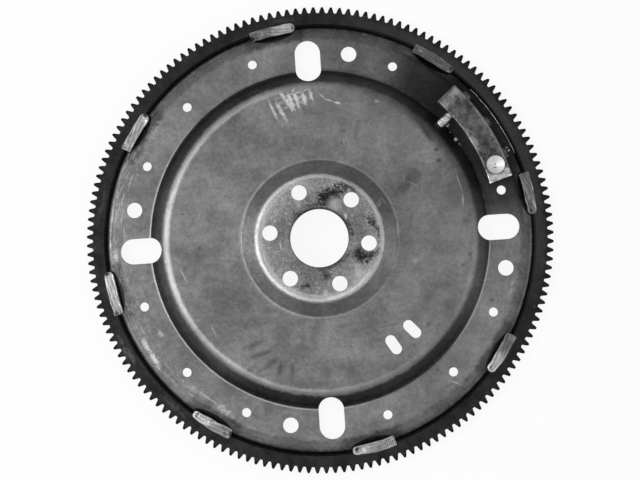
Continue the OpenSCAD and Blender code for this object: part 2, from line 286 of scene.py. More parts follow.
# %% The eight beads
# Each row: angle round the plate; start and end along the seam; width at start and end; ripples and
# their slant; brightness at start and end; dents as place along, place across, size and depth.
BEADS = [
    (8.7, -17.2, 16.0, 7.4, 8.4, 0.4, 0.0, (0.40, 0.32),
     [(-14.2, -0.4, 1.0, 1.0), (-13.6, 0.9, 0.7, -0.5), (-8.5, 0.0, 1.7, 0.4), (-0.8, -2.8, 0.9, 0.6)]),
    (54.1, -18.4, 17.1, 7.2, 8.0, 0.5, 0.8, (0.22, 0.18),
     [(-16.4, 1.3, 1.0, 1.0), (-15.9, -1.9, 0.8, -0.6), (10.9, 0.6, 1.7, -0.4)]),
    (99.0, -17.6, 18.0, 7.8, 8.0, 0.7, -0.8, (0.84, 0.28),
     [(-15.9, 0.2, 0.8, 0.8), (16.8, -1.8, 1.5, 1.6), (1.0, -0.2, 1.0, 0.35), (7.6, 0.2, 1.4, -0.35)]),
    (145.8, -15.7, 16.8, 8.2, 8.2, 0.4, 0.0, (0.85, 0.62),
     [(-15.2, 0.6, 1.2, 1.3), (-11.8, -2.9, 1.2, -0.5), (13.8, 2.6, 1.8, 0.6)]),
    (190.8, -16.9, 17.6, 8.2, 8.0, 0.6, 0.3, (0.92, 0.76),
     [(-16.3, 1.2, 1.5, 1.4), (16.4, 2.0, 1.6, 1.1)]),
    (235.6, -15.9, 17.8, 6.8, 8.6, 0.7, 0.6, (1.00, 0.52),
     [(-12.2, -0.2, 1.1, 0.7), (-1.5, -0.6, 1.4, -0.45), (13.8, 1.4, 1.3, 0.4), (17.2, -0.4, 1.0, 1.2)]),
    (280.9, -17.2, 17.0, 7.2, 8.6, 1.2, 0.0, (0.86, 0.66),
     [(-13.5, -0.7, 1.0, 1.1), (-7.0, 0.8, 2.0, -0.4), (3.0, 3.0, 3.0, 0.5)]),
    (324.1, -17.4, 16.4, 7.4, 8.8, 0.9, 1.0, (0.95, 0.34),
     [(-14.0, -0.5, 0.8, 0.8), (-2.5, 0.4, 1.2, -0.45), (12.0, -2.5, 2.6, 0.6)]),
]
beads = []
for number, row in enumerate(BEADS, 1):
    grid, glow = bead_grid(*row, seed=10 * number)
    bead = closed_grid(f"ring_bead_{number}", [grid], [glow])
    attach(bead, "root")
    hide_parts(f"ring_weld_{number}")
    beads.append(bead)
print("beads:", len(beads), "with", len(beads[0].data.polygons), "faces each")

# %% [markdown]
# ## The weight's welds
# Three tacks sit between the balance weight and the lip, and one thicker nub runs in over the
# foot of the dish. They are lumps of the same weld metal, so the same kind of closed grid makes
# them: an oval carried along a short line, swollen and dented by the wander. A few drops of
# spatter froze on the plate near them, and all of these are one piece of small domes.

# %% Lump surface


def lump_grid(centre, turn, length, width, height, depth, seed, shine, square=0.75, rough=0.06, rows=56, columns=48):
    """An oval lump about a point: rings from tail to nose, with a bumpy upper half and ripples across it."""
    v = np.linspace(0.02, np.pi - 0.02, rows)
    phi = np.linspace(0, 2 * np.pi, columns, endpoint=False)
    c, d = np.cos(phi)[None, :], np.sin(phi)[None, :]
    along = -np.cos(v)[:, None] * np.ones_like(c)
    along = np.sign(along) * np.abs(along) ** square * length / 2
    swell = np.sin(v)[:, None] ** (square * 0.7)
    bump = wander(along * 1.9 + 2 * c, seed, 5) + wander(along * 1.1 + 3 * d, seed + 1, 5)
    across = swell * width / 2 * np.sign(c) * np.abs(c) ** 0.7 * (1 + rough * bump)
    z = swell * np.where(d >= 0, height * np.abs(d) ** 0.7 * (1 + rough * bump), -depth * np.abs(d))
    ripple = np.sin(2 * np.pi * along / 1.9 + 0.6 * across)
    z = z + np.where(d > 0, 0.04 * height * ripple * swell * d, 0)
    a = math.radians(turn)
    x = centre[0] + along * math.cos(a) - across * math.sin(a)
    y = centre[1] + along * math.sin(a) + across * math.cos(a)
    # The brightness is painted light as well: lighter on bumps, ripple crests and the top, darker down the sides and
    # nothing beneath
    glow = shine * (0.85 + 0.2 * bump + 0.12 * ripple) * smooth_step(d, -0.2, 0.5)
    return np.stack([x, y, centre[2] + z], -1), np.clip(glow, 0, 1.2)


def add_lump(name, stands_for, *lumps):
    """A weld piece from one or more lumps, riding on the part in place of its plain solid."""
    piece = closed_grid(name, [grid for grid, _ in lumps], [glow for _, glow in lumps])
    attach(piece, "root")
    if stands_for:
        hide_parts(stands_for)
    return piece


# %% Tacks, nub and spatter
WEIGHT_ANGLE = 29.7
WEIGHT_SKEW = -1.2
WEIGHT_MID_R = 147.1
WEIGHT_OUTER_R = 156.4
WEIGHT_INNER_R = 137.8
RIM_Z = 10.0
BAR_TURN = WEIGHT_ANGLE + WEIGHT_SKEW
TACK_TURNS = (-8.6, 1.6, 10.9)
NUB_TURN = BAR_TURN + 9.9
# Each size: length, width, height above the middle and depth below it
TACK_SIZE = (9.4, 6.4, 4.6, 2.0)
NUB_SIZE = (14.4, 7.4, 4.1, 3.0)


def polar(radius, degrees):
    """A point of the plane at a radius and an angle."""
    return np.array([radius * math.cos(math.radians(degrees)), radius * math.sin(math.radians(degrees))])


weight_centre = polar(WEIGHT_MID_R, WEIGHT_ANGLE) - polar(WEIGHT_MID_R, BAR_TURN)
welds = []
for number, offset in enumerate(TACK_TURNS, 1):
    turn = BAR_TURN + offset
    x, y = weight_centre + polar(WEIGHT_OUTER_R + 0.9, turn)
    lump = lump_grid((x, y, RIM_Z - 0.6), turn + 90, *TACK_SIZE, seed=200 + number, shine=0.2)
    welds.append(add_lump(f"weight_tack_lump_{number}", f"weight_tack_{number}", lump))
x, y = weight_centre + polar(WEIGHT_INNER_R - 4.6, NUB_TURN)
nub = lump_grid((x, y, RIM_Z + 1.6), NUB_TURN, *NUB_SIZE, seed=301, shine=1.05, square=0.5, rough=0.04)
welds.append(add_lump("weight_nub", "weight_weld_inner", nub))
# Each drop: place in the plane, height of the plate there, radius and brightness
DROPS = [
    (110.4, 69.8, 10.0, 2.0, 0.42), (112.6, 66.2, 10.0, 1.0, 0.2), (149.2, 39.4, 10.0, 0.7, 0.4),
    (134.6, 84.2, 10.0, 0.9, 0.6), (106.0, 75.4, 10.1, 0.7, 0.3), (150.2, 58.4, 9.9, 1.1, 0.7),
    (104.6, 81.2, 10.3, 2.0, 0.35), (148.6, 60.6, 10.0, 1.4, 0.25),
]
drops = [
    lump_grid((x, y, z), 40.0, 2.2 * r, 2 * r, r, 0.6 * r, seed=400 + i, shine=shine, square=1.0, rows=16, columns=18)
    for i, (x, y, z, r, shine) in enumerate(DROPS)
]
welds.append(add_lump("weld_spatter", None, *drops))
print("weld lumps:", [piece.name for piece in welds])

# %% [markdown]
# ## The bright burr
# Beside the weight a thin line of bright metal stands on the plate's lip, where the edge was
# dressed. It could be painted on, but the lip is steep there and paint would stay dark. So it is
# a real burr: a thin tube along an arc, half sunk in the lip and thinning out at both ends.

# %% Lip burr
BURR_R, BURR_Z = 164.6, 8.35


def burr_grid(start, end, half_width, half_height, seed, rows=160, columns=12):
    """Rings of a thin oval along an arc of the lip; its size falls to nothing at both ends and wanders."""
    t = np.linspace(0.002, 0.998, rows)
    size = np.sin(np.pi * t) ** 0.3 * (0.85 + 0.2 * wander(t * 22, seed, 5))
    phi = np.linspace(0, 2 * np.pi, columns, endpoint=False)
    angle = np.radians(start + (end - start) * t)[:, None]
    radius = BURR_R + 0.08 * wander(t * 9, seed + 1, 4)[:, None] + half_width * size[:, None] * np.cos(phi)
    z = BURR_Z + half_height * size[:, None] * np.sin(phi)
    grid = np.stack([radius * np.cos(angle), radius * np.sin(angle), z], -1)
    return grid, np.clip(1.0 + 0.25 * wander(t * 14, seed + 2, 5), 0.6, 1.3)[:, None] * np.ones(columns)


welds.append(add_lump("lip_burr", None, burr_grid(19.8, 41.2, 0.5, 0.7, seed=500)))
print("burr:", len(welds[-1].data.polygons), "faces")

# %% [markdown]
# ## Steel in layers
# Each steel is the same metal in another state: pressed and oily, hardened black, freshly melted.
# The states share their small effects, so these are node groups with named inputs: a mottle of
# clouds and grain, the place in the plane as radius and angle, a ragged patch, a band of a ring
# and streaks round it. A long thin patch is also a scratch. A group only gives masks and values.
# The shader itself stays in each material.

# %% Node helpers


def set_inputs(tree, made, inputs):
    """Links each named input to a socket, or sets it to a value."""
    for key, value in inputs.items():
        if isinstance(value, bpy.types.NodeSocket):
            tree.links.new(value, made.inputs[key])
        else:
            made.inputs[key].default_value = value


def add(tree, kind, inputs=None, **settings):
    """Adds a node with its properties and inputs."""
    made = tree.nodes.new(kind)
    for key, value in settings.items():
        setattr(made, key, value)
    set_inputs(tree, made, inputs or {})
    return made


def calc(tree, operation, a, b=0.0, c=0.0):
    """One step of arithmetic on values; sockets are linked and numbers are set."""
    return add(tree, "ShaderNodeMath", {0: a, 1: b, 2: c}, operation=operation).outputs[0]


def vector_calc(tree, operation, a, b=(0, 0, 0)):
    """One step of arithmetic on vectors; a length comes out as a value."""
    made = add(tree, "ShaderNodeVectorMath", {0: a, 1: b}, operation=operation)
    return made.outputs["Value" if operation == "LENGTH" else "Vector"]


def spread(tree, value, low, high, to_low=0.0, to_high=1.0):
    """Maps a value from one range to another along an S-curve, held at the ends."""
    made = add(
        tree, "ShaderNodeMapRange",
        {"Value": value, "From Min": low, "From Max": high, "To Min": to_low, "To Max": to_high},
        interpolation_type="SMOOTHSTEP",
    )
    return made.outputs["Result"]


def noise(tree, vector, scale, detail=4.0, roughness=0.6, distortion=0.0):
    """Soft noise between 0 and 1."""
    made = add(tree, "ShaderNodeTexNoise", {
        "Vector": vector, "Scale": scale, "Detail": detail, "Roughness": roughness, "Distortion": distortion,
    })
    return made.outputs["Fac"]


def over(tree, amount, below, above):
    """Lays one value over another by a mask."""
    return add(tree, "ShaderNodeMix", {0: amount, 2: below, 3: above}, data_type="FLOAT").outputs[0]


def vary(tree, value, mask, low, high):
    """Multiplies a value by a share that runs from low to high along a mask."""
    return calc(tree, "MULTIPLY", value, over(tree, mask, low, high))


def start_group(name, vectors, values, outputs):
    """An empty shader group with its sockets made; returns the tree and its two end nodes."""
    tree = bpy.data.node_groups.new(name, "ShaderNodeTree")
    for label in vectors:
        tree.interface.new_socket(label, in_out="INPUT", socket_type="NodeSocketVector")
    for label in values:
        tree.interface.new_socket(label, in_out="INPUT", socket_type="NodeSocketFloat")
    for label in outputs:
        tree.interface.new_socket(label, in_out="OUTPUT", socket_type="NodeSocketFloat")
    return tree, tree.nodes.new("NodeGroupInput").outputs, tree.nodes.new("NodeGroupOutput").inputs


def use(tree, group, inputs):
    """Places a group in a material; returns its outputs."""
    made = tree.nodes.new("ShaderNodeGroup")
    made.node_tree = group
    set_inputs(tree, made, inputs)
    return made.outputs


# %% Mottle group
mottle, given, out = start_group(
    "Steel Mottle", ["Vector"], ["Cloud Scale", "Grain Scale"], ["Cloud", "Grain", "Blotch", "Edge", "Fleck"],
)
cloud = noise(mottle, given["Vector"], given["Cloud Scale"], 7.0, 0.62, 0.4)
grain = noise(mottle, given["Vector"], given["Grain Scale"], 3.0, 0.6)
wide = calc(mottle, "MULTIPLY", given["Cloud Scale"], 0.31)
blotch = noise(mottle, given["Vector"], wide, 4.0, 0.7, 1.1)
ragged = noise(mottle, given["Vector"], 190.0, 5.0, 0.68)
mottle.links.new(spread(mottle, cloud, 0.28, 0.72), out["Cloud"])
mottle.links.new(spread(mottle, grain, 0.25, 0.75), out["Grain"])
mottle.links.new(spread(mottle, blotch, 0.35, 0.65), out["Blotch"])
mottle.links.new(calc(mottle, "SUBTRACT", ragged, 0.5), out["Edge"])
mottle.links.new(spread(mottle, noise(mottle, given["Vector"], 330.0, 3.0, 0.55), 0.3, 0.7), out["Fleck"])
print("mottle group:", len(mottle.nodes), "nodes")

# %% Place, patch, band and streak groups
# A band's ragged edge, in metres, is turned into radians by about one over the rim's radius
RAGGED_TURN = 7.0
IN_PLANE = (1, 1, 0)
place_group, given, out = start_group("Polar Place", ["Vector"], [], ["Radius", "Angle"])
axes = add(place_group, "ShaderNodeSeparateXYZ", {0: given["Vector"]}).outputs
flat = vector_calc(place_group, "MULTIPLY", given["Vector"], IN_PLANE)
place_group.links.new(vector_calc(place_group, "LENGTH", flat), out["Radius"])
place_group.links.new(calc(place_group, "ARCTAN2", axes["Y"], axes["X"]), out["Angle"])

patch, given, out = start_group(
    "Ragged Patch", ["Vector", "Centre", "Size"], ["Edge", "Turn", "Ragged", "Soft"], ["Mask"],
)
moved = vector_calc(patch, "SUBTRACT", given["Vector"], given["Centre"])
back_turn = calc(patch, "MULTIPLY", given["Turn"], -1.0)
turned = add(patch, "ShaderNodeVectorRotate", {"Vector": moved, "Angle": back_turn}, rotation_type="Z_AXIS").outputs[0]
reach = vector_calc(patch, "LENGTH", vector_calc(patch, "DIVIDE", turned, given["Size"]))
reach = calc(patch, "MULTIPLY_ADD", given["Edge"], given["Ragged"], reach)
inner = calc(patch, "SUBTRACT", 1.0, given["Soft"])
patch.links.new(spread(patch, reach, inner, 1.0, 1.0, 0.0), out["Mask"])

band, given, out = start_group(
    "Ring Band", [],
    ["Radius", "Angle", "Edge", "Middle", "Half Span", "Span Soft", "Inner", "Outer", "Soft", "Ragged"], ["Mask"],
)
swing = calc(band, "SUBTRACT", given["Angle"], given["Middle"])
swing = calc(band, "ABSOLUTE", calc(band, "WRAP", swing, math.pi, -math.pi))
shift = calc(band, "MULTIPLY", given["Edge"], given["Ragged"])
swing = calc(band, "MULTIPLY_ADD", shift, RAGGED_TURN, swing)
radius = calc(band, "ADD", given["Radius"], shift)
span_end = calc(band, "ADD", given["Half Span"], given["Span Soft"])
inside = spread(band, swing, given["Half Span"], span_end, 1.0, 0.0)
above = spread(band, radius, calc(band, "SUBTRACT", given["Inner"], given["Soft"]), given["Inner"])
below = spread(band, radius, given["Outer"], calc(band, "ADD", given["Outer"], given["Soft"]), 1.0, 0.0)
band.links.new(calc(band, "MULTIPLY", inside, calc(band, "MULTIPLY", above, below)), out["Mask"])

streak_group, given, out = start_group("Ring Streaks", ["Vector"], ["Around", "Across"], ["Streak"])
flat = vector_calc(streak_group, "MULTIPLY", given["Vector"], IN_PLANE)
way = vector_calc(streak_group, "MULTIPLY", vector_calc(streak_group, "NORMALIZE", flat), given["Around"])
rise = calc(streak_group, "MULTIPLY", vector_calc(streak_group, "LENGTH", flat), given["Across"])
lift = add(streak_group, "ShaderNodeCombineXYZ", {"Z": rise}).outputs[0]
spot_in_noise = vector_calc(streak_group, "ADD", way, lift)
streak_noise = noise(streak_group, spot_in_noise, 1.0, 4.0, 0.65)
streak_group.links.new(spread(streak_group, streak_noise, 0.3, 0.7), out["Streak"])
print("groups:", [group.name for group in bpy.data.node_groups])

# %% Material helpers


def start_material(name, cloud_scale, grain_scale):
    """A metal with Object coordinates, its mottle and place, and one Principled shader."""
    material = bpy.data.materials.new(name)
    material.use_nodes = True
    tree = material.node_tree
    tree.nodes.clear()
    shader = add(tree, "ShaderNodeBsdfPrincipled", {"Metallic": 1.0})
    add(tree, "ShaderNodeOutputMaterial", {"Surface": shader.outputs["BSDF"]})
    place = add(tree, "ShaderNodeTexCoord").outputs
    marks = use(tree, mottle, {"Vector": place["Object"], "Cloud Scale": cloud_scale, "Grain Scale": grain_scale})
    return material, tree, shader, place, marks


def patch_mask(tree, place, marks, x, y, turn, half_length, half_width, ragged=0.6, soft=0.6):
    """A ragged oval about a point of the plane, in millimetres and degrees."""
    return use(tree, patch, {
        "Vector": place["Object"], "Edge": marks["Edge"], "Centre": (x * MM, y * MM, 0), "Turn": math.radians(turn),
        "Size": (half_length * MM, half_width * MM, 1.0), "Ragged": ragged, "Soft": soft,
    })["Mask"]


def line_mask(tree, place, marks, x0, y0, x1, y1, half_width, ragged=0.8, soft=0.8):
    """A scratch between two points: a long thin patch."""
    turn = math.degrees(math.atan2(y1 - y0, x1 - x0))
    half = math.hypot(x1 - x0, y1 - y0) / 2
    return patch_mask(tree, place, marks, (x0 + x1) / 2, (y0 + y1) / 2, turn, half, half_width, ragged, soft)


def band_mask(tree, ring, marks, middle, half_span, span_soft, inner, outer, soft, ragged=0.0):
    """A band of a ring about an angle, in degrees and millimetres."""
    return use(tree, band, {
        "Radius": ring["Radius"], "Angle": ring["Angle"], "Edge": marks["Edge"], "Middle": math.radians(middle),
        "Half Span": math.radians(half_span), "Span Soft": math.radians(span_soft), "Inner": inner * MM,
        "Outer": outer * MM, "Soft": soft * MM, "Ragged": ragged * MM,
    })["Mask"]


def dim(tree, value, mask, depth):
    """Takes a share off a value where the mask is."""
    return calc(tree, "MULTIPLY", value, calc(tree, "MULTIPLY_ADD", mask, -depth, 1.0))


def most(tree, value, mask, strength):
    """The larger of a value and a mask of some strength."""
    return calc(tree, "MAXIMUM", value, calc(tree, "MULTIPLY", mask, strength))


def lay(tree, value, rows, blend, mask, where, marks, share=None):
    """Blends a table into a value row by row; a row's last number is its strength, and share thins its mask."""
    for *shape, strength in rows:
        cover = mask(tree, where, marks, *shape)
        if share is not None:
            cover = calc(tree, "MULTIPLY", cover, share)
        value = blend(tree, value, cover, strength)
    return value


def facing_up(tree, place, low, high):
    """1 where a surface faces the engine, falling to 0 as its normal turns away."""
    up = add(tree, "ShaderNodeSeparateXYZ", {0: place["Normal"]}).outputs["Z"]
    return spread(tree, up, low, high)


def finish_metal(piece_list, material, tree, shader, marks, tone, rough, bump_height):
    """Feeds tone, roughness and a fine bump into the shader and gives the metal to its pieces."""
    colour = add(tree, "ShaderNodeCombineColor", {0: tone, 1: tone, 2: tone}).outputs[0]
    set_inputs(tree, shader, {"Base Color": colour, "Roughness": rough})
    bump = add(tree, "ShaderNodeBump", {"Height": marks["Grain"], "Strength": 0.3, "Distance": bump_height * MM})
    set_inputs(tree, shader, {"Normal": bump.outputs[0]})
    for piece in piece_list:
        piece.data.materials.clear()
        piece.data.materials.append(material)


print("material helpers ready")

# %% [markdown]
# ## Pressed plate steel
# The plate is bare pressed steel, dull with oil and years of dust, so it is a dark, fairly rough
# metal with clouds of stain and a fine grain. Welding burnt it dark: a broad halo round the
# balance weight, and a small one beside each bead. Painted shade darkens the steep wall at the
# top and bottom, the corner at the foot of the wall, the groove by the lip and two broad parts
# of the dish that the lamps light too brightly. The rim's outer edge is darker on the sides away
# from the key light, partly heat tint and partly painted shade, and the edge of the centre bore
# is darker too. These marks are bands of a ring, and both faces have them.

# %% Plate steel: base, heat, grime and painted shade
PLATE_TONES = (0.128, 0.214)
plate_steel, tree, shader, place, marks = start_material("plate_steel", 42.0, 700.0)
ring = use(tree, place_group, {"Vector": place["Object"]})
streak_place = add(tree, "ShaderNodeMapping", {"Vector": place["Object"], "Scale": (30.0, 300.0, 30.0)}).outputs[0]
streaks = spread(tree, noise(tree, streak_place, 1.0, 3.0, 0.6), 0.3, 0.7)
tone = over(tree, marks["Cloud"], *PLATE_TONES)
tone = vary(tree, tone, marks["Grain"], 0.92, 1.08)
tone = vary(tree, tone, marks["Blotch"], 0.85, 1.12)
tone = vary(tree, tone, streaks, 0.96, 1.04)
tone = vary(tree, tone, marks["Fleck"], 0.89, 1.11)
pits = spread(tree, noise(tree, place["Object"], 520.0, 2.0, 0.5), 0.64, 0.74)
tone = dim(tree, tone, pits, 0.38)
# Each row: middle angle, half span and its softness; inner and outer radius and their softness; raggedness; depth
# The first two rows darken the rim round the balance weight: a broad halo of heat tint, and darker still right round
# the weight. The row about 12 degrees darkens the rim's outer edge on the sides away from the key light, partly heat
# tint and partly painted shade.
HEAT_AND_PAINTED_SHADE = [
    (32, 23, 14, 131.5, 164.5, 3, 10, 0.76), (30.5, 15, 12, 132, 159, 3, 10, 0.4),
    (41, 6, 12, 120, 129, 8, 16, 0.48), (66, 14, 24, 133, 161, 4, 12, 0.24),
    (12, 126, 22, 157, 161, 3.4, 10, 0.36), (29, 20, 16, 117, 124, 8, 10, 0.24),
]
# Painted shade: the steep wall at the top and bottom, the corner at the foot of the wall, the groove by the lip, and
# two broad parts of the dish that the lamps light too brightly. The three rows at 20 to 24 mm darken the edge of the
# centre bore.
PAINTED_SHADE_AND_GRIME = [
    (72, 66, 26, 122.6, 128, 2.5, 6, 0.55), (283, 34, 24, 122.2, 128, 2.5, 6, 0.6),
    (200, 110, 30, 127.6, 130.6, 2.2, 6, 0.28), (38, 40, 30, 129, 132, 2, 4, 0.3),
    (75, 50, 30, 20, 23.6, 1, 1.4, 0.62), (290, 20, 14, 20, 24.4, 1.6, 2.4, 0.55),
    (0, 180, 1, 20, 22.9, 0.7, 1, 0.35), (0, 180, 1, 161.4, 162.2, 2.6, 4, 0.26),
    (154, 20, 26, 84, 150, 12, 6, 0.06), (243, 20, 26, 84, 150, 12, 6, 0.07),
]
# The painted shade joins the heat bands, and the plate is burnt beside the six beads that are clear of the halo
HEAT_AND_PAINTED_SHADE += PAINTED_SHADE_AND_GRIME + [(bead[0], 6.8, 3.0, 156.4, 163.0, 4.4, 8.0, 0.52) for bead in BEADS[2:]]
# Two dents lie in the burnt halo and stayed cleaner than it, so these rows give tone back
HEAT_AND_PAINTED_SHADE += [(bead[0], 6.4, 3.0, 159.0, 164.0, 1.5, 3.0, -0.8) for bead in BEADS[:2]]
tone = lay(tree, tone, HEAT_AND_PAINTED_SHADE, dim, band_mask, ring, marks)
print("heat and grime bands:", len(HEAT_AND_PAINTED_SHADE))

# %% [markdown]
# ## Handling marks
# The engine side also shows how the part was used. The crank's flange polished the hub pad
# towards its edge and left it dirty in places. Fingers, a gasket scraper and other parts left
# smears, scratches and rubs. Each is one row of a table: dark marks take some tone away, light
# ones show bare metal. They belong to this face alone, so the surface's normal holds them there.

# %% Dark marks
# Each row: place, turn, half length, half width, raggedness, softness, depth; first the dirt on the hub pad
PAD_DIRT = [
    (6.4, 30.8, 48, 10.4, 7.4, 1.9, 0.8, 0.88), (14.8, 34.4, 22, 12.4, 7, 1.9, 0.8, 0.88),
    (25.4, 37.4, -18, 9, 4.2, 1.8, 0.8, 0.6), (31, -15.2, -40, 9.6, 7.4, 2, 0.8, 0.86),
    (38.4, -15.2, 30, 9, 6, 2.2, 0.8, 0.8), (41.6, 9.2, -60, 8.4, 5.2, 3, 0.8, 0.74),
    (46, -2, 90, 5, 2.2, 2.4, 0.8, 0.65), (45, -13.2, 74, 6, 2.6, 2.4, 0.8, 0.72),
    (3.4, -28.8, 60, 6.4, 4.8, 1.8, 0.9, 0.72), (-12.6, -35.6, 3, 8.8, 2.8, 1.6, 0.9, 0.74),
    (-13.6, 20.6, 40, 8, 3.2, 2.6, 0.9, 0.5), (23.8, 8, 104, 10, 2.4, 2, 0.8, 0.6),
    (1, 25.2, -2, 16, 1.6, 1.2, 0.8, 0.6), (20, -15.6, 52, 8, 1.6, 1.4, 0.8, 0.5),
]
SMEARS = [
    (75.2, 42.6, 38, 8.8, 6.6, 1.3, 0.4, 0.28), (66, 34, 18, 8.6, 4.4, 1.4, 0.5, 0.28),
    (96.3, -57.1, 98, 7.6, 5.2, 1.2, 0.5, 0.3), (114.4, -20.1, 60, 3, 2.2, 1.6, 0.8, 0.45),
    (108.4, -27.9, 30, 2.2, 1.4, 1.2, 0.8, 0.45), (78.7, -70.9, 0, 1.8, 1.8, 1.2, 0.8, 0.5),
    (-92.1, -1.2, 80, 3, 1.7, 1.6, 0.8, 0.5), (94.3, 62.1, 0, 2.4, 2.1, 1.6, 0.8, 0.65),
    (95.5, 53.6, 40, 3, 2.4, 2, 0.8, 0.55), (87.2, 75.6, -62, 13, 3.2, 2.6, 0.9, 0.62),
    (34.2, 80, 79, 17, 3, 1.4, 1, 0.26), (24.2, 82, 20, 4, 2.6, 1.6, 0.9, 0.32),
    (-56, -78, 18, 14, 3.2, 1.2, 0.8, 0.38), (-51.5, -85.6, 19, 14, 3, 1.2, 0.8, 0.38),
    (-43.8, -93, 34, 13, 3.2, 1.2, 0.8, 0.4), (-36.6, -98, 74, 9, 3, 1.2, 0.8, 0.36),
    (-27.6, -98, 88, 8, 2.8, 1.2, 0.8, 0.34), (-60, -97, 40, 11, 3.2, 1.4, 0.8, 0.28),
    (15.1, -68, 20, 11, 3.6, 2, 1, 0.2), (129.1, -55.8, 0, 2.6, 2.1, 1.6, 0.8, 0.4),
    (106.2, -114.7, 30, 5.4, 2.6, 2, 0.9, 0.4), (83.6, -107, 0, 1.8, 1.8, 1.4, 0.8, 0.4),
    (-127, 63, 70, 7, 2.6, 1.6, 1, 0.24), (112, 6, 0, 3.8, 2.6, 1.6, 0.9, 0.3),
    (-12, 78, 30, 26, 9, 1.6, 1, 0.12), (-70, 62, 40, 16, 6, 1.8, 1, 0.14),
    (84, -4, 70, 20, 8, 1.8, 1, 0.14), (-84, 20, 60, 18, 7, 1.8, 1, 0.12),
    (20, -100, 5, 24, 6, 1.8, 1, 0.1), (104, 28, 100, 12, 5, 1.8, 1, 0.16),
]
# Each row: from, to, half width, depth
DARK_LINES = [
    (38.5, -71.8, 60, -68.2, 0.8, 0.35), (60, -68.2, 78, -68.6, 0.6, 0.25),
    (67.4, -83, 66.3, -90.4, 1.1, 0.55), (85, -122, 97, -117, 1.1, 0.3),
]
# Dirt and scuffs break up more finely than stains, so the grain is added to their edges
speck = calc(tree, "MULTIPLY_ADD", calc(tree, "SUBTRACT", marks["Grain"], 0.5), 0.3, marks["Edge"])
dusty = {"Edge": speck}
wear = lay(tree, 1.0, PAD_DIRT, dim, patch_mask, place, dusty)
wear = lay(tree, wear, SMEARS, dim, patch_mask, place, marks)
wear = lay(tree, wear, DARK_LINES, dim, line_mask, place, marks)
print("dark marks:", len(PAD_DIRT) + len(SMEARS) + len(DARK_LINES))

# %% Light marks
# Each row: from, to, half width, raggedness, strength; first the scuff by the upper slot, stroke by stroke
STROKES = [
    (-33.2, 111.4, -24.6, 90, 1.8, 1.6, 0.6), (-28.6, 111, -17.4, 88.6, 2, 1.7, 0.65),
    (-23.6, 116.4, -12.4, 98, 2.4, 1.7, 0.9), (-18.4, 117.4, -11.8, 98, 2.3, 1.7, 0.9),
    (-13.2, 118, -8, 99.6, 2.3, 1.7, 0.95), (-6.4, 117, -2.8, 101, 2.2, 1.7, 0.85),
    (-0.4, 117.4, 2, 104.8, 1.9, 1.6, 0.75), (-30, 104.6, 4, 112.6, 1.5, 2, 0.5),
    (-28, 109, 4.6, 116.6, 1.5, 2, 0.5), (-27, 100, 0, 107.6, 1.4, 2, 0.4),
    (6.2, 112.6, 11.8, 106.4, 0.8, 0.7, 0.5), (10, 107.6, 19, 103.8, 0.9, 0.7, 0.55),
    (16.6, 104.8, 24.6, 101.7, 1.3, 0.9, 0.75), (23.6, 77.4, 23.8, 69.6, 0.7, 0.7, 0.38),
    (106.8, 47.6, 112.4, 24.6, 0.8, 0.8, 0.32), (112.1, 28.4, 111.2, 15, 0.8, 0.7, 0.45),
    (-109.4, -14.2, -102.6, -28.8, 0.9, 0.9, 0.3), (-88.4, -58, -83, -72.6, 0.9, 0.9, 0.25),
    (60.2, 12.4, 60.5, -6.4, 0.7, 1, 0.32), (90, -114.4, 103, -120, 0.8, 0.9, 0.32),
    (-30.3, 1, -29.7, -8.4, 0.8, 0.8, 0.5), (-22.4, 14.4, -21.2, 10.6, 0.8, 0.7, 0.5),
    (-114, -100.2, -78.6, -129, 1.3, 2, 0.24), (48.4, 28.8, 53.6, 21.8, 0.9, 1.2, 0.28),
    (80.6, 33.6, 68.4, 40.4, 1, 1.2, 0.12), (68, 49, 67.6, 38.4, 1, 1.2, 0.12),
]
# Each row: place, turn, half length, half width, raggedness, softness, strength
RUBS = [
    (-138.6, -73.6, -62, 10, 2.4, 2.6, 1, 0.5), (-133.4, -84, -62, 9, 2.8, 2.6, 1, 0.7),
    (-82.4, -126.6, -40, 7, 3.6, 3, 1, 0.32), (-158.6, -3.6, 86, 9, 3.6, 2.2, 1, 0.45),
    (-128, -64, -60, 5, 2.2, 2.6, 1, 0.35), (145.7, -43.9, 70, 5, 2.2, 2.2, 1, 0.3),
    (143.6, -50.6, 60, 4.6, 2, 2.2, 1, 0.28), (112.4, -11.5, 80, 4, 2.8, 1.2, 0.9, 0.15),
    (28, -28.5, -62, 10, 6, 3.4, 1, 0.45), (1.9, -44.4, 80, 5, 3, 2.6, 1, 0.45),
    (21.4, 15.2, 100, 3.4, 1.6, 1.8, 0.9, 0.9), (73.4, -21.3, 20, 5.4, 2.8, 2, 1, 0.18),
    (51.4, 102.4, 20, 3.4, 2.2, 1.8, 1, 0.28), (-122, 92, 52, 12, 5, 3, 1, 0.16),
    (38, -7, 70, 9, 5, 3.6, 1, 0.3), (13, 24.8, 120, 8, 5, 3.6, 1, 0.35),
    (46.4, 22, 60, 6, 2.6, 2.8, 1, 0.35), (-70, 30, 10, 10, 3.6, 3, 1, 0.1),
    (-14, 27, 100, 6, 3, 3.2, 1, 0.3), (88, 56, 110, 14, 5, 2.4, 1, 0.12),
]
brightening = lay(tree, 0.0, STROKES, most, line_mask, place, dusty)
brightening = lay(tree, brightening, RUBS, most, patch_mask, place, dusty)
print("light marks:", len(STROKES) + len(RUBS))

# %% [markdown]
# ## Burnished bends and painted highlights
# Wherever the sheet bends outward, handling and the press die polish it: the hub's shoulder, the
# edge of the dish and the two corners where a wall meets a flat. Each is a thin bright band, and
# it fades out where oil and heat kept the steel dull. Most of these bands are painted highlights
# as well, lying mostly on the side towards the key light, and a few broad rows are painted light
# that brightens the hub's cone and the dish on the right and at the top.

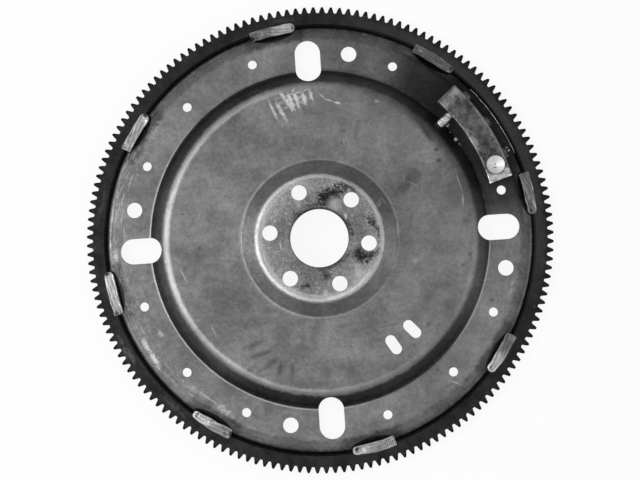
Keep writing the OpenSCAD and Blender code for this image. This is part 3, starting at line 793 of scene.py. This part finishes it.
# %% Burnish, painted highlights, hub pad and plate shader
# Each row: middle angle, half span and its softness; inner and outer radius and their softness; raggedness; strength
# Painted highlights: most rows lay the bright lines of the bends where the lamps would draw them, strongest on the
# left. The broad rows with small strengths are painted light on the hub's cone and the dish. The row all round the
# hub's shoulder is wear.
BURNISH_AND_PAINTED_HIGHLIGHTS = [
    (225, 90, 50, 44.6, 48.4, 2.6, 3, 0.3), (250, 95, 40, 47.4, 48.6, 0.9, 1.2, 0.42),
    (70, 180, 1, 46.9, 48.6, 1, 1.4, 0.42), (200, 92, 50, 116.8, 119.4, 2.4, 3, 0.2),
    (214, 56, 30, 131, 131.7, 0.7, 1.4, 0.28), (338, 14, 12, 131.1, 131.7, 0.5, 0.8, 0.3),
    (0, 180, 1, 60.6, 61.4, 0.6, 0.8, 0.06), (190, 60, 40, 60.4, 61.6, 0.6, 0.8, 0.16),
    (332, 26, 30, 50, 58, 4, 4, 0.07), (350, 20, 26, 116, 127, 5, 5, 0.06),
    (336, 24, 34, 84, 150, 12, 8, 0.03), (66, 20, 24, 84, 124, 12, 8, 0.03),
    (350, 50, 30, 47.4, 49.2, 1, 1.2, 0.6), (298, 18, 16, 45.8, 47.6, 1.2, 1.6, 0.8),
]
lines = use(tree, streak_group, {"Vector": place["Object"], "Around": 9.0, "Across": 900.0})["Streak"]
brightening = lay(tree, brightening, BURNISH_AND_PAINTED_HIGHLIGHTS, most, band_mask, ring, marks, over(tree, lines, 0.65, 1.15))
# Fine scratches round the rim, in rows of the same kind
RIM_SCRATCHES = [
    (211, 14, 10, 150, 158, 4, 8, 0.2), (169, 14, 12, 152, 160.6, 4, 8, 0.3),
    (238, 9, 8, 149, 157, 4, 8, 0.13), (188, 10, 10, 138, 150, 5, 8, 0.07),
]
scratched = vary(tree, spread(tree, lines, 0.5, 0.95), marks["Fleck"], 0.25, 1.3)
brightening = lay(tree, brightening, RIM_SCRATCHES, most, band_mask, ring, marks, scratched)
# The pad shines more towards its edge; bare metal and painted highlights are lighter and smoother than the rest
PAD_R = 47.0
BARE_AND_HIGHLIGHT_TONE, BARE_AND_HIGHLIGHT_ROUGH = 0.68, 0.27
facing = facing_up(tree, place, 0.0, 0.5)
pad = calc(tree, "MULTIPLY", band_mask(tree, ring, marks, 0.0, 180.0, 1.0, 0.0, PAD_R, 2.0), facing)
sheen = over(tree, spread(tree, ring["Radius"], 30 * MM, 46 * MM), 1.12, 1.5)
sheen = vary(tree, sheen, marks["Grain"], 0.7, 1.32)
tone = vary(tree, tone, pad, 1.0, sheen)
tone = vary(tree, tone, facing, 1.0, wear)
brightening = calc(tree, "MULTIPLY", brightening, facing)
tone = over(tree, brightening, tone, BARE_AND_HIGHLIGHT_TONE)
rough = over(tree, marks["Cloud"], 0.41, 0.34)
rough = over(tree, brightening, rough, BARE_AND_HIGHLIGHT_ROUGH)
finish_metal([plate], plate_steel, tree, shader, marks, tone, rough, 0.2)
print("plate steel:", len(tree.nodes), "nodes")

# %% [markdown]
# ## Ring steel
# The ring gear is hardened and tempered, which leaves a near-black scale. The starter's pinion
# and the press that fitted the ring rubbed it in places. Wear could be laid on every sharp edge,
# but then all the teeth would shine alike, so each rub is a patch of its own.

# %% Ring steel
RING_TONES = (0.015, 0.029)
RUBBED_TONE = 0.11
ring_steel, tree, shader, place, marks = start_material("ring_steel", 80.0, 900.0)
tone = over(tree, marks["Cloud"], *RING_TONES)
tone = vary(tree, tone, marks["Grain"], 0.75, 1.25)
# Each row: place, turn, half length, half width, raggedness, softness, strength
RING_RUBS = [
    (-152.5, -78.7, -62, 9, 2.6, 4.6, 0.9, 0.5), (-158.7, -67.7, -66, 5, 2, 4.6, 0.9, 0.4),
    (161.2, -63.6, 68, 2.6, 0.8, 1.6, 0.8, 0.7), (-120, -122, -45, 14, 2.4, 4.6, 0.9, 0.3),
    (120, 122, -45, 16, 2.4, 4.8, 0.9, 0.25), (150, 82, -60, 16, 2, 4.8, 0.9, 0.3),
    (-20, 171, 6, 20, 2.4, 4.8, 0.9, 0.22), (-166, 40, 76, 16, 2.4, 4.8, 0.9, 0.25),
]
brightening = lay(tree, 0.0, RING_RUBS, most, patch_mask, place, marks)
ring = use(tree, place_group, {"Vector": place["Object"]})
worn_face = band_mask(tree, ring, marks, 30.0, 34.0, 26.0, 166.0, 172.0, 4.0, 10.0)
brightening = most(tree, brightening, worn_face, 0.2)
tone = over(tree, brightening, tone, RUBBED_TONE)
rough = over(tree, marks["Cloud"], 0.52, 0.42)
finish_metal([nodes["ring_gear"]], ring_steel, tree, shader, marks, tone, rough, 0.15)
print("ring steel:", len(tree.nodes), "nodes")

# %% [markdown]
# ## Weld metal
# Weld metal froze from the melt. It is dull where scale stayed, each bead has its own look, and
# its ridges are bright with painted highlight and its hollows dark with painted shade, so its
# colour follows the brightness that its points carry.

# %% Weld metal
WELD_TONES = (0.04, 0.52)
weld_steel, tree, shader, place, marks = start_material("weld_steel", 260.0, 1500.0)
shine = add(tree, "ShaderNodeAttribute", attribute_name="shine").outputs["Fac"]
tone = over(tree, shine, *WELD_TONES)
tone = vary(tree, tone, marks["Cloud"], 0.8, 1.15)
tone = vary(tree, tone, marks["Grain"], 0.85, 1.15)
rough = over(tree, shine, 0.5, 0.34)
finish_metal(beads + welds, weld_steel, tree, shader, marks, tone, rough, 0.1)
print("weld metal:", len(tree.nodes), "nodes on", len(beads + welds), "pieces")

# %% [markdown]
# ## Weight steel
# The balance weight is a length of hot-rolled bar. Its skin is mottled grey, worn bright along
# both long edges and at its ends, and the two corners of its lower end carry painted glints. A
# drill took metal out of it near one end, to balance the finished part, and that spot is the
# brightest place on the part; the shade at its rim and in the dimple and chip at its middle is
# painted. The bar's own centre of curvature gives the radius for its edges.

# %% Weight steel
BAR_TONES = (0.03, 0.165)
WORN_TONE, CORNER_GLINT_TONE, SPOT_TONE = 0.55, 0.9, 0.8
SPOT_R = 7.25
SPOT_TURN = -10.79
SPOT = weight_centre + polar(WEIGHT_MID_R, BAR_TURN + SPOT_TURN)
weight_steel, tree, shader, place, marks = start_material("weight_steel", 130.0, 1000.0)
from_centre = vector_calc(tree, "SUBTRACT", place["Object"], (*(weight_centre * MM), 0))
bar = use(tree, place_group, {"Vector": from_centre})
tone = over(tree, marks["Cloud"], *BAR_TONES)
tone = vary(tree, tone, marks["Grain"], 0.8, 1.2)
# Each row: middle angle, half span and its softness; inner and outer radius and their softness; raggedness; strength
BAR_BANDS = [
    (28.5, 20, 1, 155.4, 160, 1.6, 6, 0.2), (28.5, 20, 1, 135, 138.4, 1.2, 8, 0.25),
    (27.6, 2.4, 2.6, 135, 139.6, 3.2, 14, 0.34), (28, 1.6, 1.6, 135, 138.2, 0.5, 1, 0.95),
    (42.6, 0.2, 2.6, 150, 160, 8, 20, 0.4), (42.4, 0.2, 2.6, 135, 141, 6, 16, 0.36),
]
# Each row: place, turn, half length, half width, raggedness, softness, and for a patch its strength
# The two corners of the lower end are painted glints, kept to the top face
BAR_CORNER_GLINTS = [(150, 38.4, 20, 3.4, 1.5, 1.4, 0.7), (133.6, 33.9, 6, 3.6, 1.2, 1.4, 0.7)]
BAR_PATCHES = [
    (111.6, 107.9, 44, 5, 1.4, 1.6, 0.9, 0.45), (101.6, 96.6, 60, 3, 1.2, 1.6, 0.9, 0.5),
]
lower_end = band_mask(tree, bar, marks, 13.4, 1.3, 1.5, 130.0, 160.0, 3.0, 8.0)
facing = facing_up(tree, place, 0.2, 0.7)
brightening = calc(tree, "MULTIPLY", vary(tree, lower_end, marks["Fleck"], 0.35, 1.35), facing)
brightening = lay(tree, brightening, BAR_BANDS, most, band_mask, bar, marks)
brightening = lay(tree, brightening, BAR_PATCHES, most, patch_mask, place, marks)
tone = over(tree, brightening, tone, WORN_TONE)
for row in BAR_CORNER_GLINTS:
    corner_glint = calc(tree, "MULTIPLY", patch_mask(tree, place, marks, *row), facing)
    tone = over(tree, corner_glint, tone, CORNER_GLINT_TONE)
spot = patch_mask(tree, place, marks, SPOT[0], SPOT[1], 0.0, SPOT_R, SPOT_R, 0.0, 0.08)
# The dark ring round the spot and the dimple and chip at its middle are painted shade
spot_rim_shade = dim(tree, patch_mask(tree, place, marks, SPOT[0], SPOT[1], 0.0, 8.3, 8.3, 0.2, 0.12), spot, 1.0)
dimple_shade = patch_mask(tree, place, marks, SPOT[0], SPOT[1] + 0.5, 0.0, 1.0, 0.8, 0.4, 0.6)
chip_shade = patch_mask(tree, place, marks, SPOT[0] - 0.3, SPOT[1] - 2.0, -4.0, 1.9, 0.55, 0.4, 0.6)
tone = dim(tree, tone, spot_rim_shade, 0.5)
tone = over(tree, spot, tone, SPOT_TONE)
tone = dim(tree, dim(tree, tone, dimple_shade, 0.75), chip_shade, 0.7)
rough = over(tree, marks["Cloud"], 0.5, 0.38)
rough = over(tree, brightening, rough, 0.32)
rough = over(tree, spot, rough, 0.58)
finish_metal([weight], weight_steel, tree, shader, marks, tone, rough, 0.15)
print("weight steel:", len(tree.nodes), "nodes, spot at", [round(float(v), 1) for v in SPOT])

# %% [markdown]
# ## Floor and light
# The part lies on a pale floor. The light is one broad soft dome overhead, dark towards the
# horizon but for a faint low band, which lights the flats in a low view, and soft boxes: a strong
# one low on the left, which draws the bright line along the bends together with the painted
# highlights there, and weaker ones round it. The floor is mixed with plain white for the camera and
# for reflections, so it reads as a white ground and still takes the part's shadow. From below it is
# clear, so the plate's back can be looked at.

# %% Floor
FLOOR_HALF = 6000.0
FLOOR_GAP = 0.3
FLOOR_GREY = 0.86
WHITE_SHARE = 0.9
corners = np.array([[-1, -1, 0], [1, -1, 0], [1, 1, 0], [-1, 1, 0]]) * FLOOR_HALF
floor = put_mesh("floor", corners - [0, 0, FLOOR_GAP], [[0, 1, 2, 3]])
pale = bpy.data.materials.new("pale_floor")
pale.use_nodes = True
tree = pale.node_tree
tree.nodes.clear()
shade = add(tree, "ShaderNodeBsdfDiffuse", {"Color": (FLOOR_GREY, FLOOR_GREY, FLOOR_GREY, 1)})
path = add(tree, "ShaderNodeLightPath").outputs
seen = calc(tree, "MAXIMUM", path["Is Glossy Ray"], path["Is Transmission Ray"])
seen = calc(tree, "MULTIPLY", calc(tree, "MAXIMUM", path["Is Camera Ray"], seen), WHITE_SHARE)
white = add(tree, "ShaderNodeEmission", {"Color": (1, 1, 1, 1), "Strength": 1.0})
mixed = add(tree, "ShaderNodeMixShader", {0: seen, 1: shade.outputs[0], 2: white.outputs[0]})
under = add(tree, "ShaderNodeNewGeometry").outputs["Backfacing"]
clear = add(tree, "ShaderNodeBsdfTransparent")
mixed = add(tree, "ShaderNodeMixShader", {0: under, 1: mixed.outputs[0], 2: clear.outputs[0]})
add(tree, "ShaderNodeOutputMaterial", {"Surface": mixed.outputs[0]})
floor.data.materials.append(pale)
print("floor:", 2 * FLOOR_HALF * MM, "m across")

# %% World and soft boxes
DOME_LEVELS = (0.04, 0.8)
LOW_BAND_LEVEL = 0.22
world = bpy.data.worlds.new("studio")
bpy.context.scene.world = world
world.use_nodes = True
tree = world.node_tree
tree.nodes.clear()
way = add(tree, "ShaderNodeTexCoord").outputs["Generated"]
up = add(tree, "ShaderNodeSeparateXYZ", {0: way}).outputs["Z"]
level = spread(tree, up, 0.05, 1.05, *DOME_LEVELS)
low_band = calc(tree, "MULTIPLY", spread(tree, up, 0.1, 0.28), spread(tree, up, 0.34, 0.6, 1.0, 0.0))
level = calc(tree, "MULTIPLY_ADD", low_band, LOW_BAND_LEVEL, level)
colour = add(tree, "ShaderNodeCombineColor", {0: level, 1: level, 2: level}).outputs[0]
sky = add(tree, "ShaderNodeBackground", {"Color": colour, "Strength": 1.0})
add(tree, "ShaderNodeOutputWorld", {"Surface": sky.outputs[0]})


def soft_box(name, picture_angle, off_axis, size, brightness, distance=1.6):
    """A square lamp that faces the plate's middle; its watts are pi times area times brightness."""
    lamp = bpy.data.lights.new(name, "AREA")
    lamp.shape = "SQUARE"
    lamp.size = size
    lamp.energy = math.pi * size * size * brightness
    a = math.radians(picture_angle) - PICTURE_TURN
    b = math.radians(off_axis)
    spot = Vector((math.sin(b) * math.cos(a), math.sin(b) * math.sin(a), math.cos(b))) * distance
    box = bpy.data.objects.new(name, lamp)
    box.location = spot
    box.rotation_euler = spot.to_track_quat("Z", "Y").to_euler()
    bpy.context.scene.collection.objects.link(box)


soft_box("left_box", 180, 39, 0.85, 3.4)
soft_box("upper_left_box", 130, 36, 0.6, 1.4)
soft_box("lower_left_box", 220, 29, 0.6, 1.4)
soft_box("front_box", 258, 21, 0.55, 1.1)
soft_box("right_box", 350, 52, 0.75, 1.0)
bpy.context.scene.view_settings.view_transform = "Standard"
print("lamps:", [lamp.name for lamp in bpy.data.lights])
